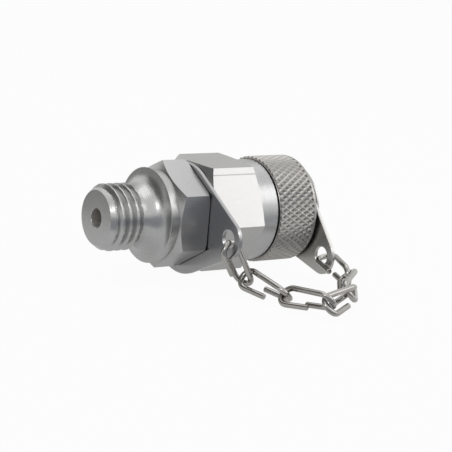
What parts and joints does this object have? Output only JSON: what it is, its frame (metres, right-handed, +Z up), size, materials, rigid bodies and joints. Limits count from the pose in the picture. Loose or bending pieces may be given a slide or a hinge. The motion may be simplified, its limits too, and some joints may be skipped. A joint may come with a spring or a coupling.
{
  "type": "test point coupling",
  "caption": "Pressure test point coupling: threaded stud, two hexagons with a check valve inside, and a knurled screw cap held by a short jack chain between two sheet tags.",
  "frame": {"origin": "on the coupling's axis in the plane of the sealing edge under the stud's collar", "axes": "+X along the axis from the stud to the cap, +Z up with a flat of the larger hexagon level underneath; the chain lies on the -Y side"},
  "size_m": [0.0448, 0.0432, 0.0208],
  "materials": {
    "turned_steel": "fine turned and milled, satin",
    "knurled_steel": "diamond knurled, matt",
    "sheet_steel": "stamped sheet, satin face and bright cut edge",
    "bright_steel": "fine turned",
    "spring_steel": "drawn spring wire",
    "chain_wire": "bright drawn wire",
    "black_rubber": "moulded, matt",
    "white_seal": "turned, matt"
  },
  "bodies": {
    "body": {"stud_body": "turned_steel", "body_seal_ring": "white_seal", "body_tag": "sheet_steel", "coupling_body": "turned_steel", "nose_seal": "black_rubber", "spring_seat": "bright_steel", "retaining_ring": "spring_steel", "valve_spring": "spring_steel"},
    "valve": {"valve_poppet": "bright_steel", "poppet_seal": "black_rubber"},
    "cap_tag": {"cap_tag": "sheet_steel"},
    "cap": {"cap": "knurled_steel", "cap_seal": "black_rubber", "tag_retainer": "sheet_steel"},
    "link_1": {"chain_link_1": "chain_wire"},
    "link_2": {"chain_link_2": "chain_wire"},
    "link_3": {"chain_link_3": "chain_wire"},
    "link_4": {"chain_link_4": "chain_wire"},
    "link_5": {"chain_link_5": "chain_wire"},
    "link_6": {"chain_link_6": "chain_wire"}
  },
  "joints": [
    {"name": "valve_travel", "type": "slide", "parent": "body", "child": "valve", "axis": [-1, 0, 0], "range_m": [0, 0.002], "stiffness_N_per_m": 1500, "springref_m": -0.002, "deforming": ["valve_spring"]},
    {"name": "cap_travel", "type": "slide", "parent": "body", "child": "cap_tag", "axis": [1, 0, 0], "range_m": [0, 0.006]},
    {"name": "cap_turn", "type": "hinge", "parent": "cap_tag", "child": "cap", "pos_m": [0.0315, 0, 0], "axis": [1, 0, 0], "range_deg": [0, 1080]},
    {"name": "chain_swing_1", "type": "hinge", "parent": "body", "child": "link_1", "pos_m": [0.00777, -0.01523, -0.00195], "axis": [0, 0, 1], "range_deg": [-1.9, 0]},
    {"name": "chain_swing_2", "type": "hinge", "parent": "link_1", "child": "link_2", "pos_m": [0.01339, -0.01567, -0.00718], "axis": [0, 0, 1], "range_deg": [0, 19.3]},
    {"name": "chain_swing_3", "type": "hinge", "parent": "link_2", "child": "link_3", "pos_m": [0.01549, -0.02272, -0.009], "axis": [0, 0, 1], "range_deg": [-4.02, 0]},
    {"name": "chain_swing_4", "type": "hinge", "parent": "link_3", "child": "link_4", "pos_m": [0.01869, -0.03114, -0.0084], "axis": [0, 0, 1], "range_deg": [-20.56, 0]},
    {"name": "chain_swing_5", "type": "hinge", "parent": "link_4", "child": "link_5", "pos_m": [0.02597, -0.02751, -0.00708], "axis": [0, 0, 1], "range_deg": [-1.8, 0]},
    {"name": "chain_swing_6", "type": "hinge", "parent": "link_5", "child": "link_6", "pos_m": [0.03133, -0.02125, -0.00657], "axis": [0, 0, 1], "range_deg": [0, 3.94]}
  ],
  "couplings": [
    {"joint": "cap_travel", "follows": "cap_turn", "m_per_rad": 0.0003183},
    {"joint": "chain_swing_1", "follows": "cap_turn", "ratio": -0.00175},
    {"joint": "chain_swing_2", "follows": "cap_turn", "ratio": 0.017861},
    {"joint": "chain_swing_3", "follows": "cap_turn", "ratio": -0.003713},
    {"joint": "chain_swing_4", "follows": "cap_turn", "ratio": -0.019028},
    {"joint": "chain_swing_5", "follows": "cap_turn", "ratio": -0.001657},
    {"joint": "chain_swing_6", "follows": "cap_turn", "ratio": 0.003639}
  ]
}
